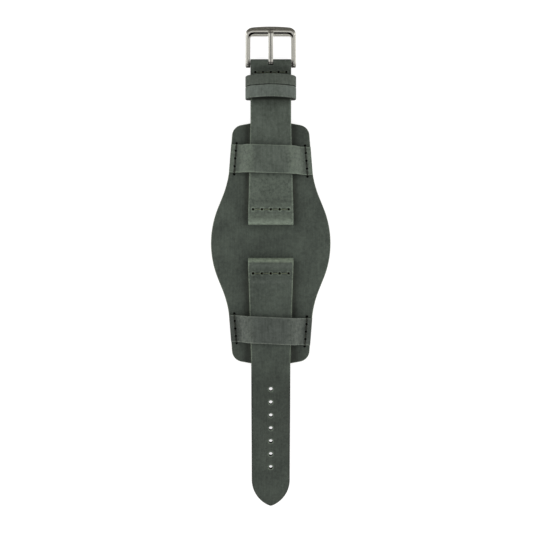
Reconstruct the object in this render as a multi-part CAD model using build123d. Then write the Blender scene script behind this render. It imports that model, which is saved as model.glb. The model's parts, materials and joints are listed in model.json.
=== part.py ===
from build123d import *
import os
from math import asin, atan2, degrees, hypot, radians, sin, cos, tan

# A bund watch strap: a two-piece leather strap for a watch with 22 mm between its lugs, threaded
# through two sewn bridges on a waisted leather cuff pad, and closed by a steel pin buckle.
# Millimetres. +X is across the strap, +Y runs from the pad towards the buckle, and +Z points away
# from the wrist. The origin is the middle of the pad's underside.

# Cuff pad. Its outline is a polygon whose corners are rounded by large and small arcs: the two
# flanks meet at the belly, and each end has a neck corner, an end corner and a crown.
belly_corner_width = 65.4
neck_corner_width = 41.2
neck_corner_reach = 29.9
end_corner_width = 36.9
end_corner_reach = 57.2
crown_rise = 3.45
belly_radius = 46.0
neck_radius = 50.0
end_corner_radius = 5.5
crown_radius = 62.0
pad_leather = 1.2
pad_lining_leather = 0.8

# Strap leather, and the gap under a piece that only lies on another one
strap_leather = 1.35
lining_leather = 1.0
flap_leather = 0.7
glue_line = 0.1
lying_gap = 0.1

# Strap outlines. Places along a strap are measured from its lug end.
lug_width = 22.0
lug_straight = 4.0
taper_length = 47.0
taper_radius = 60.0
corner_radius = 0.4
buckle_width = 19.6
buckle_strap_start = 8.9
buckle_strap_length = 80.45
tail_width = 18.8
tail_end_width = 18.4
tail_strap_start = 7.2
tail_strap_length = 121.4
tip_radius = 13.0
nose_radius = 1.2

# Folded ends: the leather goes round a bar, and its skived flap is glued back under the strap
lug_bore_radius = 1.0
lug_loop_wall = 1.1
buckle_bore_clearance = 0.1
buckle_loop_wall = 1.35
loop_ramp = 3.1
flap_ramp = 3.0
flap_past_stitches = 2.4

# Adjusting holes and droop of the tail
adjusting_holes = 7
adjusting_hole_radius = 1.0
adjusting_pitch = 6.42
last_hole_to_tip = 19.1
droop_start = 63.3
droop_length = 41.5

# Sewn bridges over the strap
bridge_leather = 1.2
buckle_bridge_to_end_corner = 16.4
buckle_bridge_width = 13.8
buckle_bridge_skew = 1.9
tail_bridge_to_end_corner = 14.8
tail_bridge_width = 13.2
tail_bridge_skew = 2.6
bridge_gap = 0.2
bridge_side_gap = 0.7
bridge_ramp = 4.2
bridge_row_inset = 2.6
bridge_row_overhang = 0.3

# Stitching: waxed thread in rows of five holes
stitch_holes = 5
thread_radius = 0.25
thread_knot_radius = 0.3
awl_hole_radius = 0.4
stitch_groove_gap = 0.08
top_stitch_dip = 0.38
top_stitch_sink = 0.08
under_stitch_dip = 0.5
under_stitch_sink = 0.35
stitch_edge_inset = 2.4
lug_row_distance = 7.5
buckle_row_distance = 4.3

# Keepers
keeper_leather = 1.3
keeper_inner_width = 22.2
keeper_headroom = 0.55
keeper_roof_slope = 18.7
keeper_crown_radius = 17.0
keeper_top_radius = 4.6
keeper_bottom_radius = 1.8
fixed_keeper_width = 4.95
fixed_keeper_to_axis = 5.95
free_keeper_width = 5.85
keeper_spacing = 0.25

# Buckle frame, in its own plane from the bar axis
frame_inner_width = 20.0
frame_bar_width = 2.3
frame_height = 2.7
frame_reach = 19.2
frame_window_reach = 15.0
frame_ear_reach = 1.8
frame_ear_radius = 1.3
ear_tip_radius = 0.9
frame_corner_radius = 3.4
frame_window_radius = 0.8
frame_crown = 1.1
frame_bevel = 0.6
end_bar_heel = 0.5
end_bar_slope_start = 16.9
end_bar_slope_drop = 0.84
end_bar_edge_radius = 0.3
ledge_width = 1.0
ledge_depth = 0.55
ledge_radius = 2.4
notch_gap = 0.15
notch_depth = 0.8
notch_end_reach = 17.5
ear_hole_depth = 1.1

# Buckle tongue
tongue_width = 2.35
tongue_eye_wall = 0.65
tongue_bar_gap = 0.05
tongue_heel_height = 0.4
tongue_bend_reach = 15.6
tongue_reach = 17.2
tongue_thickness = 1.05
tongue_notch_gap = 0.07
tongue_lift = 0.15
tongue_tip_slant = 0.2
tongue_edge_radius = 0.25
tongue_slot_gap = 0.15
tongue_slot_reach = 1.95
eye_slit = 0.15

# Spring bar
bar_radius = 0.75
bar_wall = 0.15
bar_length = 17.3
bar_crimp = 0.1
bar_crimp_length = 0.4
plunger_tip_radius = 0.4
plunger_tip_length = 0.9
plunger_tip_round = 0.12
plunger_hole_gap = 0.05
plunger_shoulder_radius = 0.65
plunger_shoulder_length = 0.4
plunger_end_gap = 0.05
plunger_shank_radius = 0.42
plunger_head_radius = 0.52
plunger_head_length = 1.0
plunger_head_gap = 0.05
coil_wire_radius = 0.09
coil_mean_radius = 0.42
coil_turns = 20
coil_end_gap = 0.06

# A tool that cuts a face reaches this far past it
overrun = 2.0

# Levels, all worked out from the leather
pad_top = pad_lining_leather + pad_leather
strap_bottom = pad_top + lying_gap
lining_top = strap_bottom + lining_leather
strap_top = lining_top + strap_leather
flap_rise = flap_leather + glue_line
flap_top = strap_top + flap_rise
lug_loop_radius = lug_bore_radius + lug_loop_wall
lug_axis_height = strap_bottom + lug_loop_radius
buckle_bore_radius = bar_radius + buckle_bore_clearance
buckle_loop_radius = buckle_bore_radius + buckle_loop_wall
buckle_axis_height = strap_bottom + buckle_loop_radius
strap_length_of_bar = buckle_strap_length - buckle_loop_radius
bar_place = buckle_strap_start + strap_length_of_bar


def mirrored_outline(half):
    """Closed face of a half outline that starts and ends on the Y axis."""
    return make_face(half + mirror(half, about=Plane.YZ))


def step_edges(start, end, above):
    """S-curve of two equal arcs, level at both ends, carried on at a height above itself."""
    run = end.X - start.X
    rise = end.Y - start.Y
    slope = 2 * atan2(rise, run)
    lift = Vector(0, above)
    middle = (start + end) / 2 + Vector(-sin(slope), cos(slope)) * above
    return [
        TangentArc(start + lift, middle, tangent=(1, 0)),
        TangentArc(end + lift, middle, tangent=(-1, 0)),
    ]


def profile_edges(stations, above):
    """Level lines and S-curves through stations (along, height), at a height above them."""
    edges = []
    for (along, height), (next_along, next_height) in zip(stations, stations[1:]):
        start = Vector(along, height)
        end = Vector(next_along, next_height)
        if height == next_height:
            edges.append(Line(start + Vector(0, above), end + Vector(0, above)))
        else:
            edges.extend(step_edges(start, end, above))
    return edges


def layer_face(stations, low, high):
    """Face of a sheet that follows the stations, between two heights above them."""
    first = Vector(*stations[0])
    last = Vector(*stations[-1])
    ends = [
        Line(first + Vector(0, low), first + Vector(0, high)),
        Line(last + Vector(0, low), last + Vector(0, high)),
    ]
    return make_face(profile_edges(stations, low) + profile_edges(stations, high) + ends)


def hump_face(stations, floor):
    """Face between a top line through the stations and a level floor."""
    first = Vector(*stations[0])
    last = Vector(*stations[-1])
    base = Polyline(first, (first.X, floor), (last.X, floor), last)
    return make_face(profile_edges(stations, 0) + [base])


def along_strap(face, width):
    """Solid of a side profile (along, height) spread across the strap."""
    return extrude(Plane.YZ * face, amount=width, both=True)


def plan_solid(face, low, high):
    """Solid of a plan outline between two heights."""
    return extrude(Pos(0, 0, low) * face, amount=high - low)


def block(x_range, y_range, z_range):
    """Box between two values on each axis."""
    size = [high - low for low, high in (x_range, y_range, z_range)]
    middle = [(high + low) / 2 for low, high in (x_range, y_range, z_range)]
    return Pos(*middle) * Box(*size)


def cross_rod(along, height, radius, length):
    """Cylinder along X, centred on the strap, at a place along it and a height."""
    return Pos(0, along, height) * Rot(0, 90, 0) * Cylinder(radius, length)


# Stitching
def stitch_row(start, end, top, under):
    """Thread of one row of stitches, and the tool that cuts its holes and grooves.

    The row runs straight from its first hole to its last. Thread bows up from hole to hole
    on the top face and along the under face, and joins through every hole.
    """
    length = hypot(end[0] - start[0], end[1] - start[1])
    place = Location(
        (start[0], start[1], 0),
        (0, 0, degrees(atan2(end[1] - start[1], end[0] - start[0]))),
    )
    pitch = length / (stitch_holes - 1)
    bows = [
        (top - top_stitch_dip, top - top_stitch_sink),
        (under + under_stitch_dip, under + under_stitch_sink),
    ]
    knot_low = bows[1][0] - thread_knot_radius
    knot_high = bows[0][0] + thread_knot_radius
    groove_half = thread_radius + stitch_groove_gap
    grooves = [
        (top - top_stitch_dip - thread_radius, top + overrun),
        (under - overrun, under + under_stitch_dip + thread_radius),
    ]
    thread = Part()
    cut = Part()
    for number in range(stitch_holes):
        x = number * pitch
        middle = (knot_low + knot_high) / 2
        thread += Pos(x, 0, middle) * Cylinder(thread_knot_radius, knot_high - knot_low)
        hole_middle = (top + under) / 2
        hole_length = top - under + 2 * overrun
        cut += Pos(x, 0, hole_middle) * Cylinder(awl_hole_radius, hole_length)
    for number in range(stitch_holes - 1):
        x = number * pitch
        for end_height, middle_height in bows:
            bow = ThreePointArc(
                (x, 0, end_height), (x + pitch / 2, 0, middle_height), (x + pitch, 0, end_height)
            )
            section = Plane(origin=bow @ 0, z_dir=bow % 0) * Circle(thread_radius)
            thread += sweep(section, path=bow)
    for low, high in grooves:
        cut += block((0, length), (-groove_half, groove_half), (low, high))
    return place * thread, place * cut


def across_row(place, width, top, under):
    """Row of stitches across a strap of this width, at a place along Y."""
    half = width / 2 - stitch_edge_inset
    return stitch_row((-half, place), (half, place), top, under)


# Cuff pad
def pad_outline():
    """Waisted outline of the pad, symmetric about both axes."""
    corners = [
        (belly_corner_width / 2, 0, belly_radius),
        (neck_corner_width / 2, neck_corner_reach, neck_radius),
        (end_corner_width / 2, end_corner_reach, end_corner_radius),
        (0, end_corner_reach + crown_rise, crown_radius),
    ]
    top_right = corners
    top_left = [(-x, y, radius) for x, y, radius in reversed(corners[:-1])]
    bottom_left = [(-x, -y, radius) for x, y, radius in corners[1:]]
    bottom_right = [(x, -y, radius) for x, y, radius in reversed(corners[1:-1])]
    ring = top_right + top_left + bottom_left + bottom_right
    points = [(x, y) for x, y, radius in ring]
    radii = [radius for x, y, radius in ring]
    return make_face(FilletPolyline(points, radius=radii, close=True))


def pad_edge_at(reach):
    """Half width of the pad's straight flare between the neck corner and the end corner."""
    share = (reach - neck_corner_reach) / (end_corner_reach - neck_corner_reach)
    return (neck_corner_width + share * (end_corner_width - neck_corner_width)) / 2


def bridge_row_points(side, reach, width, skew):
    """First and last hole of a bridge's row on one side, parallel to the pad's flare."""
    row_middle = side * (pad_edge_at(abs(reach)) - bridge_row_inset)
    middle_place = reach - row_middle * tan(radians(skew))
    half = width / 2 + bridge_row_overhang + awl_hole_radius
    ends = [middle_place - half, middle_place + half]
    return [(side * (pad_edge_at(abs(place)) - bridge_row_inset), place) for place in ends]


def bridge(reach, width, skew):
    """Leather band sewn down on both sides, which rises over the strap between them.

    It is cut flush with the pad's edge, and its long sides are a little askew, as sewn.
    """
    rise = strap_top + bridge_gap - pad_top
    strap_half = max(buckle_width, tail_width, strap_width_at(abs(reach))) / 2
    shoulder = strap_half + bridge_side_gap
    foot = shoulder + bridge_ramp
    far = belly_corner_width / 2
    stations = [
        (-far, pad_top),
        (-foot, pad_top),
        (-shoulder, pad_top + rise),
        (shoulder, pad_top + rise),
        (foot, pad_top),
        (far, pad_top),
    ]
    side = Plane.XZ * layer_face(stations, 0, bridge_leather)
    sheet = Pos(0, reach, 0) * extrude(side, amount=width, both=True)
    strip = Pos(0, reach) * Rot(0, 0, -skew) * Rectangle(2 * far, width)
    ground = strip & pad_outline()
    return sheet & plan_solid(ground, 0, pad_top + rise + bridge_leather + overrun)


def strap_width_at(reach):
    """Greatest width of either strap at a distance from the middle of the pad."""
    start = min(buckle_strap_start, tail_strap_start)
    share = min(max((reach - start - lug_straight) / taper_length, 0), 1)
    return lug_width - share * (lug_width - max(buckle_width, tail_width))


# Straps
def strap_side(width, end_width, length, end_round):
    """One long side of a strap's outline, from the middle of the lug end."""
    points = [
        (0, 0),
        (lug_width / 2, 0),
        (lug_width / 2, lug_straight),
        (width / 2, lug_straight + taper_length),
        (end_width / 2, length),
    ]
    return FilletPolyline(points, radius=[corner_radius, taper_radius, end_round])


def buckle_strap_outline():
    """Outline of the buckle strap: tapered, square at both ends."""
    side = strap_side(buckle_width, buckle_width, buckle_strap_length, 0)
    end = Line((buckle_width / 2, buckle_strap_length), (0, buckle_strap_length))
    return mirrored_outline(side + end)


def tail_strap_outline():
    """Outline of the tail: tapered to a pointed tip of two large arcs with a rounded nose."""
    half = tail_end_width / 2
    tip_length = (tip_radius**2 - (tip_radius - half) ** 2) ** 0.5
    side_length = tail_strap_length - tip_length
    side = strap_side(tail_width, tail_end_width, side_length, taper_radius)
    centre = (half - tip_radius, side_length)
    turn = degrees(atan2(tip_length, -centre[0]))
    tip = CenterArc(centre, tip_radius, 0, turn)
    outline = mirrored_outline(side + tip)
    return fillet(outline.vertices().sort_by(Axis.Y)[-1], nose_radius)


def lug_fold(lug_row):
    """Profile of a folded lug end, and of what its bore and its glue line take away."""
    flap_end = lug_row + flap_past_stitches
    stations = [
        (lug_loop_radius, lug_axis_height + lug_loop_radius),
        (lug_loop_radius + loop_ramp, flap_top),
        (flap_end, flap_top),
        (flap_end + flap_ramp, strap_top),
    ]
    eye = Pos(lug_loop_radius, lug_axis_height)
    fold = hump_face(stations, lining_top) + eye * Circle(lug_loop_radius)
    slit_bottom = lining_top + flap_leather
    slit = Pos((lug_loop_radius + flap_end) / 2, slit_bottom + glue_line / 2) * Rectangle(
        flap_end - lug_loop_radius, glue_line
    )
    return fold, eye * Circle(lug_bore_radius) + slit


def buckle_fold():
    """Profile of the folded buckle end, and of what its bore and glue line take away."""
    flap_end = strap_length_of_bar - buckle_row_distance - flap_past_stitches
    stations = [
        (flap_end - flap_ramp, strap_top),
        (flap_end, flap_top),
        (strap_length_of_bar - loop_ramp, flap_top),
        (strap_length_of_bar, buckle_axis_height + buckle_loop_radius),
    ]
    eye = Pos(strap_length_of_bar, buckle_axis_height)
    fold = hump_face(stations, lining_top) + eye * Circle(buckle_loop_radius)
    slit_bottom = lining_top + flap_leather
    slit = Pos((strap_length_of_bar + flap_end) / 2, slit_bottom + glue_line / 2) * Rectangle(
        strap_length_of_bar - flap_end, glue_line
    )
    return fold, eye * Circle(buckle_bore_radius) + slit


def tongue_slot():
    """Slot through the buckle fold in which the tongue swings."""
    half = tongue_width / 2 + tongue_slot_gap
    start = strap_length_of_bar - tongue_slot_reach
    high = buckle_axis_height + buckle_loop_radius + overrun
    return block((-half, half), (start, buckle_strap_length + overrun), (0, high))


def strap_span(leather, start, end):
    """The stretch of a strap's leather between two places along it."""
    reach = lug_width + overrun
    return leather & block((-reach, reach), (start, end), (-overrun, flap_top + overrun))


# The folded ends are nodes of their own, so that the level leather between them is a plain sheet
lug_fold_end = lug_row_distance + flap_past_stitches + flap_ramp
buckle_fold_start = strap_length_of_bar - buckle_row_distance - flap_past_stitches - flap_ramp


def make_buckle_strap():
    """Upper leather and its two folds, lining and both stitch rows of the buckle strap."""
    lug_shape, lug_cut = lug_fold(lug_row_distance)
    end_shape, end_cut = buckle_fold()
    sheet_start = lug_loop_radius
    level = [(sheet_start, 0), (strap_length_of_bar, 0)]
    side = layer_face(level, lining_top, strap_top) + lug_shape + end_shape
    side = side - lug_cut - end_cut
    high = buckle_axis_height + buckle_loop_radius + overrun
    outline = plan_solid(buckle_strap_outline(), 0, high)
    upper = along_strap(side, lug_width) & outline
    lining_start = 2 * lug_loop_radius + lying_gap
    lining_end = strap_length_of_bar - buckle_loop_radius - lying_gap
    lining_side = layer_face([(lining_start, 0), (lining_end, 0)], strap_bottom, lining_top)
    lining = along_strap(lining_side, lug_width) & outline
    lug_thread, lug_row = across_row(lug_row_distance, lug_width, flap_top, strap_bottom)
    buckle_row_place = strap_length_of_bar - buckle_row_distance
    end_thread, end_row = across_row(buckle_row_place, buckle_width, flap_top, strap_bottom)
    cuts = lug_row + end_row + tongue_slot()
    upper -= cuts
    pieces = {
        "upper": strap_span(upper, lug_fold_end, buckle_fold_start),
        "lug_fold": strap_span(upper, -overrun, lug_fold_end),
        "buckle_fold": strap_span(upper, buckle_fold_start, buckle_strap_length + overrun),
        "lining": lining - cuts,
        "lug_stitching": lug_thread,
        "end_stitching": end_thread,
    }
    shift = Pos(0, buckle_strap_start, 0)
    return {name: shift * piece for name, piece in pieces.items()}


def make_tail_strap():
    """Upper leather and its lug fold, lining and stitch row of the tail, which droops."""
    lug_shape, lug_cut = lug_fold(lug_row_distance)
    droop_end = droop_start + droop_length

    def stations(start):
        return [
            (start, strap_bottom),
            (droop_start, strap_bottom),
            (droop_end, 0),
            (tail_strap_length, 0),
        ]

    upper_high = lining_leather + strap_leather
    side = layer_face(stations(lug_loop_radius), lining_leather, upper_high) + lug_shape
    high = lug_axis_height + lug_loop_radius + overrun
    outline = plan_solid(tail_strap_outline(), -overrun, high)
    upper = along_strap(side - lug_cut, lug_width) & outline
    lining_side = layer_face(stations(2 * lug_loop_radius + lying_gap), 0, lining_leather)
    lining = along_strap(lining_side, lug_width) & outline
    thread, cuts = across_row(lug_row_distance, lug_width, flap_top, strap_bottom)
    for number in range(adjusting_holes):
        place = tail_strap_length - last_hole_to_tip - number * adjusting_pitch
        cuts += Pos(0, place, high / 2) * Cylinder(adjusting_hole_radius, high + 2 * overrun)
    upper -= cuts
    pieces = {
        "upper": strap_span(upper, lug_fold_end, tail_strap_length + overrun),
        "lug_fold": strap_span(upper, -overrun, lug_fold_end),
        "lining": lining - cuts,
        "lug_stitching": thread,
    }
    shift = Pos(0, tail_strap_start, 0)
    return {name: mirror(shift * piece, about=Plane.XZ) for name, piece in pieces.items()}


# Keepers
roof_tolerance = 0.01


def keeper(middle, width, inner_bottom):
    """Closed leather loop round the strap: an arched top, rounded into sides and bottom."""
    bottom = inner_bottom - keeper_leather
    stack = flap_top + lining_leather + strap_leather + keeper_headroom
    top = stack + keeper_leather
    half = keeper_inner_width / 2 + keeper_leather
    slope = radians(keeper_roof_slope)
    ridge = top + keeper_crown_radius * (1 / cos(slope) - 1)
    shoulder = ridge - half * tan(slope)
    feet = [(-half, bottom), (half, bottom)]
    roof = [(half, shoulder), (0, ridge), (-half, shoulder)]
    outer = make_face(Polyline(feet + roof, close=True))
    outer = fillet(outer.vertices().group_by(Axis.Y)[-1], keeper_crown_radius)
    outer = fillet(outer.vertices().filter_by(lambda v: abs(v.Y - shoulder) < roof_tolerance),
                   keeper_top_radius)
    outer = fillet(outer.vertices().group_by(Axis.Y)[0], keeper_bottom_radius)
    ring = outer - offset(outer, amount=-keeper_leather)
    return Pos(0, middle, 0) * extrude(Plane.XZ * ring, amount=width / 2, both=True)


# Buckle
frame_half_height = frame_height / 2
frame_heel_reach = frame_reach - end_bar_heel
frame_tilt = degrees(
    asin(buckle_axis_height / hypot(frame_heel_reach, frame_half_height))
    - atan2(frame_half_height, frame_heel_reach)
)
frame_place = Location((0, bar_place, buckle_axis_height), (-frame_tilt, 0, 0))


def frame_opening(half, reach, radius):
    """Face of an opening between the bars, open towards the ears, with two rounded corners."""
    start = -frame_ear_reach - overrun
    points = [(-half, start), (-half, reach), (half, reach), (half, start)]
    return make_face(FilletPolyline(*points, radius=radius) + Line(points[0], points[-1]))


def make_buckle_frame():
    """Steel frame: two bars with ears and a sloped end bar, with a ledge inside and a notch."""
    inner = frame_inner_width / 2
    outer = inner + frame_bar_width
    edge = frame_reach - frame_crown
    plan = make_face(
        [
            Polyline((-outer, edge), (-outer, -frame_ear_reach), (outer, -frame_ear_reach)),
            Line((outer, -frame_ear_reach), (outer, edge)),
            ThreePointArc((outer, edge), (0, frame_reach), (-outer, edge)),
        ]
    )
    plan = fillet(plan.vertices().group_by(Axis.Y)[-1], frame_corner_radius)
    window = frame_opening(inner, frame_window_reach, frame_window_radius)
    half = frame_half_height
    slope_end = half - end_bar_slope_drop
    side = make_face(
        FilletPolyline(
            (-frame_ear_reach, -half),
            (frame_heel_reach, -half),
            (frame_reach, slope_end),
            (end_bar_slope_start, half),
            (-frame_ear_reach, half),
            radius=[
                frame_ear_radius,
                end_bar_edge_radius,
                end_bar_edge_radius,
                end_bar_edge_radius,
                frame_ear_radius,
            ],
            close=True,
        )
    )
    section = chamfer(Rectangle(2 * outer, frame_height).vertices(), frame_bevel)
    plan -= window
    plan = fillet(plan.vertices().group_by(Axis.Y)[0], ear_tip_radius)
    body = plan_solid(plan, -frame_height, frame_height)
    body = body & along_strap(side, outer)
    body = body & extrude(Plane.XZ * section, amount=frame_reach + overrun, both=True)
    ledge = frame_opening(inner + ledge_width, frame_window_reach + ledge_width, ledge_radius)
    body -= plan_solid(ledge, half - ledge_depth, frame_height)
    notch_half = tongue_width / 2 + notch_gap
    notch_floor = half - notch_depth
    notch_start = frame_window_reach - overrun
    notch = block((-notch_half, notch_half), (notch_start, notch_end_reach), (notch_floor, frame_height))
    body -= notch
    hole_radius = plunger_tip_radius + plunger_hole_gap
    body -= cross_rod(0, 0, hole_radius, frame_inner_width + 2 * ear_hole_depth)
    return frame_place * body


def make_buckle_tongue():
    """Steel tongue: an eye rolled round the spring bar, a shank, and a tip in the notch."""
    eye_inner = bar_radius + tongue_bar_gap
    eye_outer = eye_inner + tongue_eye_wall
    notch_floor = frame_half_height - notch_depth
    tip_under = notch_floor + tongue_notch_gap
    bend_under = tip_under + tongue_lift
    shank = make_face(
        FilletPolyline(
            (0, tongue_heel_height),
            (tongue_bend_reach, bend_under),
            (tongue_reach - tongue_tip_slant, tip_under),
            (tongue_reach, tip_under + tongue_thickness / 2),
            (tongue_bend_reach, bend_under + tongue_thickness),
            (0, eye_outer),
            radius=[
                0,
                tongue_edge_radius,
                tongue_edge_radius,
                tongue_edge_radius,
                tongue_edge_radius,
                0,
            ],
            close=True,
        )
    )
    slit = Pos(eye_inner, tongue_heel_height - eye_slit / 2) * Rectangle(2 * eye_outer, eye_slit)
    eye = Circle(eye_outer) - slit
    side = (eye + shank) - Circle(eye_inner)
    body = along_strap(side, tongue_width / 2)
    long_edges = body.edges().filter_by(GeomType.LINE).sort_by(Edge.length)[-4:]
    rounded = long_edges.sort_by(Axis.Z)[-2:]
    return frame_place * fillet(rounded, tongue_edge_radius)


# Spring bar
ear_face = frame_inner_width / 2
shoulder_outer = ear_face - plunger_end_gap
shoulder_inner = shoulder_outer - plunger_shoulder_length
bar_end = bar_length / 2
head_outer = bar_end - bar_crimp_length - plunger_head_gap
head_inner = head_outer - plunger_head_length
bar_location = Location((0, bar_place, buckle_axis_height))


def make_bar_tube():
    """Barrel of the spring bar, crimped inwards at both ends to hold the plungers."""
    bore = bar_radius - bar_wall
    tube = cross_rod(0, 0, bar_radius, bar_length)
    tube -= cross_rod(0, 0, bore, bar_length - 2 * bar_crimp_length)
    tube -= cross_rod(0, 0, bore - bar_crimp, bar_length + overrun)
    return bar_location * tube


def make_plunger(side):
    """Sprung end of the bar: tip for the ear, shoulder, shank and the head kept in the tube."""
    steps = [
        (0, head_inner),
        (plunger_head_radius, head_inner),
        (plunger_head_radius, head_outer),
        (plunger_shank_radius, head_outer),
        (plunger_shank_radius, shoulder_inner),
        (plunger_shoulder_radius, shoulder_inner),
        (plunger_shoulder_radius, shoulder_outer),
        (plunger_tip_radius, shoulder_outer),
        (plunger_tip_radius, shoulder_outer + plunger_tip_length - plunger_tip_round),
        (plunger_tip_radius - plunger_tip_round, shoulder_outer + plunger_tip_length),
        (0, shoulder_outer + plunger_tip_length),
    ]
    half = make_face(Polyline(steps, close=True))
    turned = revolve(Plane.XZ * half, axis=Axis.Z)
    return bar_location * Rot(0, side * 90, 0) * turned


def make_bar_spring():
    """Coil that pushes the two plungers apart."""
    length = 2 * (head_inner - coil_end_gap - coil_wire_radius)
    path = Helix(pitch=length / coil_turns, height=length, radius=coil_mean_radius)
    section = Plane(origin=path @ 0, z_dir=path % 0) * Circle(coil_wire_radius)
    coil = Pos(0, 0, -length / 2) * sweep(section, path=path, is_frenet=True)
    print("spring gap to itself", round(length / coil_turns - 2 * coil_wire_radius, 3))
    return bar_location * Rot(0, 90, 0) * coil


def make_pad_group():
    """Pad leather, pad lining, both bridges and their four stitch rows."""
    upper = plan_solid(pad_outline(), pad_lining_leather, pad_top)
    pieces = {"pad_lining": plan_solid(pad_outline(), 0, pad_lining_leather)}
    buckle_reach = end_corner_reach - buckle_bridge_to_end_corner
    tail_reach = end_corner_reach - tail_bridge_to_end_corner
    bridges = {
        "buckle_side": (buckle_reach, buckle_bridge_width, buckle_bridge_skew),
        "tail_side": (-tail_reach, tail_bridge_width, tail_bridge_skew),
    }
    for name, (reach, width, skew) in bridges.items():
        band = bridge(reach, width, skew)
        for hand, side in (("left", -1), ("right", 1)):
            first, last = bridge_row_points(side, reach, width, skew)
            row_top = pad_top + bridge_leather
            thread, cut = stitch_row(first, last, row_top, pad_lining_leather)
            band -= cut
            upper -= cut
            pieces[f"{name}_{hand}_stitching"] = thread
        pieces[f"{name}_bridge"] = band
    pieces["pad_upper"] = upper
    return pieces


def main():
    pieces = make_pad_group()
    for name, piece in make_buckle_strap().items():
        pieces[f"buckle_strap_{name}"] = piece
    for name, piece in make_tail_strap().items():
        pieces[f"tail_strap_{name}"] = piece
    fixed_middle = bar_place - fixed_keeper_to_axis - fixed_keeper_width / 2
    free_middle = fixed_middle - (fixed_keeper_width + free_keeper_width) / 2 - keeper_spacing
    pieces["fixed_keeper"] = keeper(fixed_middle, fixed_keeper_width, strap_bottom)
    pieces["free_keeper"] = keeper(free_middle, free_keeper_width, strap_bottom - lying_gap)
    pieces["buckle_frame"] = make_buckle_frame()
    pieces["buckle_tongue"] = make_buckle_tongue()
    pieces["spring_bar_tube"] = make_bar_tube()
    pieces["spring_bar_plunger_left"] = make_plunger(-1)
    pieces["spring_bar_plunger_right"] = make_plunger(1)
    pieces["spring_bar_spring"] = make_bar_spring()
    print("bar axis", round(bar_place, 3), round(buckle_axis_height, 3))
    print("frame tilt", round(frame_tilt, 3))
    os.makedirs("parts", exist_ok=True)
    for name, piece in pieces.items():
        export_step(piece, f"parts/{name}.step")


main()
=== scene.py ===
import json
from math import asin, atan2, cos, pi, radians, sin, tan

import bmesh
import bpy
import numpy as np
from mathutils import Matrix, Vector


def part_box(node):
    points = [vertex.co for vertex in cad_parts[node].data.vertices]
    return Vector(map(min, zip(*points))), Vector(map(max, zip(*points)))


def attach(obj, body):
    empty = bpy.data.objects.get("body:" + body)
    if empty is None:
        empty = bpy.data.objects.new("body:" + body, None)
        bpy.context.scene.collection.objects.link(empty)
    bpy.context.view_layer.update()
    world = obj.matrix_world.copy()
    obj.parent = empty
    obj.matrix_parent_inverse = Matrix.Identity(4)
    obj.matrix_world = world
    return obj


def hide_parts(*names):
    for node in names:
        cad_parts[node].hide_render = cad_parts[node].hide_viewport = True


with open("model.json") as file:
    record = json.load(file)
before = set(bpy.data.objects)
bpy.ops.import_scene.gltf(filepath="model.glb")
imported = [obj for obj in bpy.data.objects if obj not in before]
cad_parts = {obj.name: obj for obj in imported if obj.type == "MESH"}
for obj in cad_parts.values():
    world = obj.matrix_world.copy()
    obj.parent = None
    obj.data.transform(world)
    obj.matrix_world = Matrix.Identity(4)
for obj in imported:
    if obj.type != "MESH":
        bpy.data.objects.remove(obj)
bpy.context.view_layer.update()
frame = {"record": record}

MM = 0.001

# Studio
# The strap lies on a white board in a light tent. The camera looks down through a dark gap in the
# roof, and past the buckle the tent is open to a dim room: flat leather mirrors the gap, slopes
# mirror the bright walls, and the buckle's end bar mirrors the room.
camera_place = (-2.08 * MM, -11.37 * MM, 330 * MM)
picture_pixels = 533
focal_pixels = 669.9
sensor_width = 36.0
floor_size = 6.0
floor_depth = 0.05 * MM
# Light of the tent by the height of a direction, from the horizon (0) to straight up (1)
tent_levels = [(0.12, 0.35), (0.22, 2.6), (0.3, 2.5), (0.7, 0.95), (0.93, 0.12), (0.98, 0.02)]
# The same towards +Y, where the tent opens, and under which height mirrors see the white backdrop
open_end = (0.7, 0.82)
backdrop_height = 0.12
room_colour = "62605b"
white = (1.0, 1.0, 1.0, 1.0)
# The board's white as a light source, the change to it in mirrors and in the picture, and how
# far the picture overexposes it: it is pure white but for the shadows in narrow gaps
board_white = 0.72
board_mirrored = 0.3
board_pictured = -0.3
overexposure = 0.82
mix_a, mix_b, mix_out = 6, 7, 2


def linear(hex_colour):
    """Linear RGBA of an sRGB hex value such as "4d534b"."""
    levels = np.array([int(hex_colour[place:place + 2], 16) for place in (0, 2, 4)]) / 255
    bent = np.where(levels <= 0.04045, levels / 12.92, ((levels + 0.055) / 1.055) ** 2.4)
    return (*bent.tolist(), 1.0)


def add_node(tree, kind, inputs=(), **settings):
    """Node of a kind with its settings; inputs holds (socket, value or output) pairs."""
    node = tree.nodes.new(kind)
    for key, value in settings.items():
        setattr(node, key, value)
    for socket, value in inputs:
        if isinstance(value, bpy.types.NodeSocket):
            tree.links.new(value, node.inputs[socket])
        else:
            node.inputs[socket].default_value = value
    return node


def emptied(owner):
    """Node tree of a material or of the world, with nothing in it."""
    owner.use_nodes = True
    owner.node_tree.nodes.clear()
    return owner.node_tree


scene = bpy.context.scene
link = scene.collection.objects.link
camera = bpy.data.objects.new("camera", bpy.data.cameras.new("camera"))
camera.data.sensor_width = sensor_width
camera.data.lens = focal_pixels / picture_pixels * sensor_width
camera.data.clip_start = 10 * MM
camera.location = camera_place
link(camera)
scene.camera = camera
scene.view_settings.view_transform = "Standard"

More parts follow.
